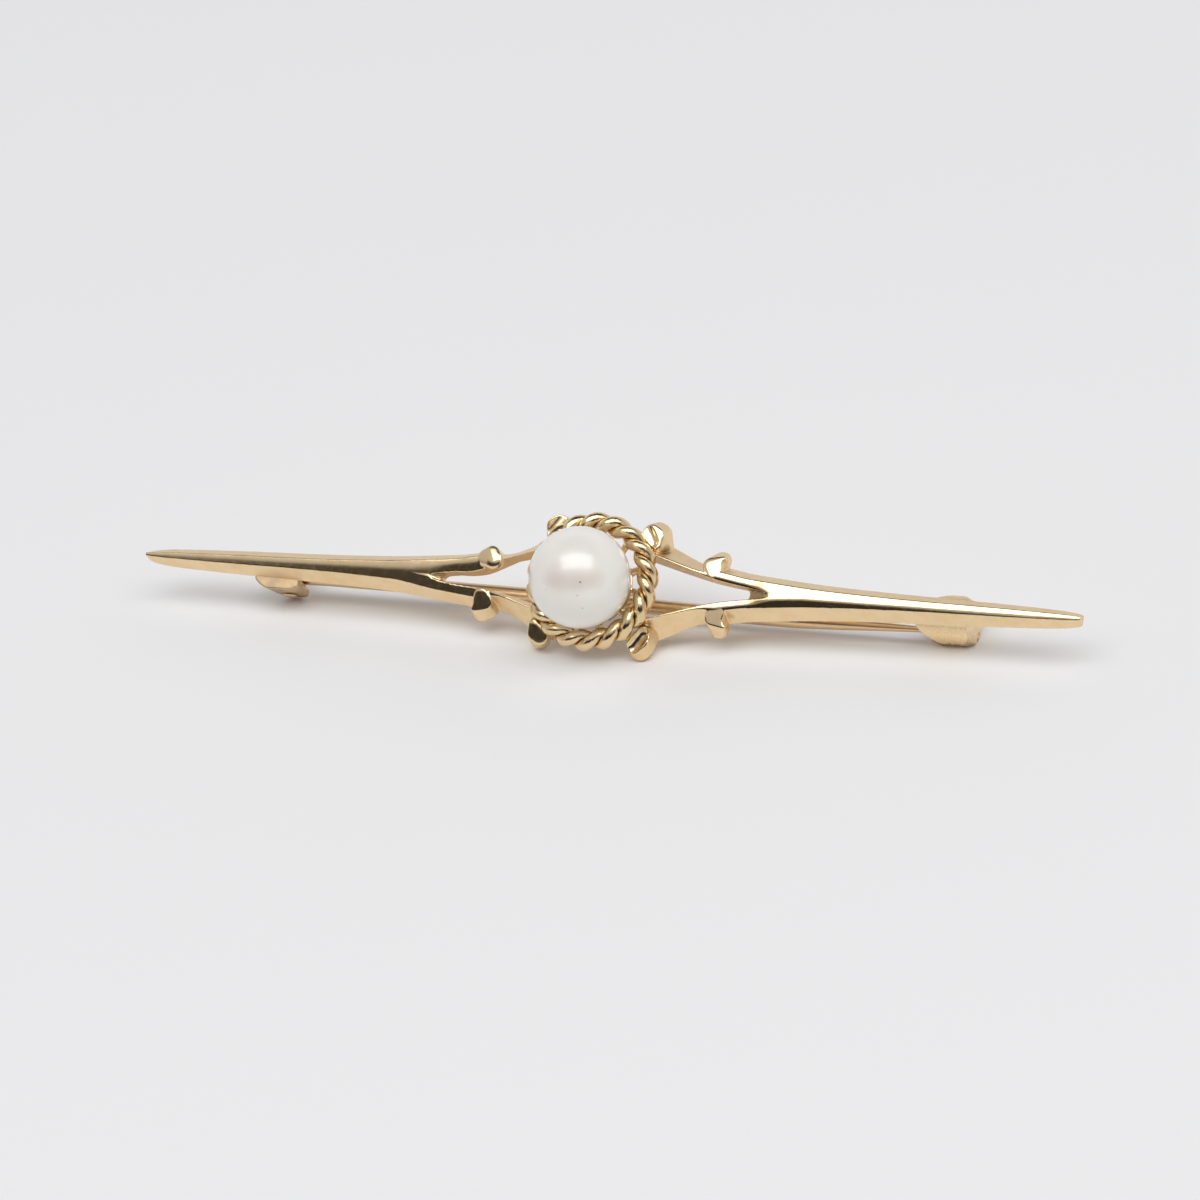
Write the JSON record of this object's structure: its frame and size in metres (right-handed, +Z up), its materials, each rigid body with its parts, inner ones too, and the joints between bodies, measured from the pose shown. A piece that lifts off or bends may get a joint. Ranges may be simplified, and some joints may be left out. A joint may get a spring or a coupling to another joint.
{
  "type": "pearl bar brooch",
  "caption": "Slim yellow gold bar brooch with forked, scrolled arms round a twisted-wire ring that holds a round pearl, and a hinged pin stem and a C catch at the back.",
  "frame": {"origin": "on the table, below the middle of the brooch's box as it rests", "axes": "+X along the bars from the hinge to the catch, +Z up, and the face looks towards -Y and up"},
  "size_m": [0.0493, 0.0078, 0.0071],
  "materials": {
    "gold": "polished front, satin sides",
    "pearl": "cream nacre with a soft lustre"
  },
  "bodies": {
    "brooch": {"frame": "gold", "pearl": "pearl", "hinge_rivet": "gold"},
    "pin": {"pin_stem": "gold"}
  },
  "joints": [
    {"name": "stem_hinge", "type": "hinge", "parent": "brooch", "child": "pin", "pos_m": [-0.0174, 0.00228, 0.00126], "axis": [0, 0.6428, 0.766], "range_deg": [0, 100]}
  ]
}
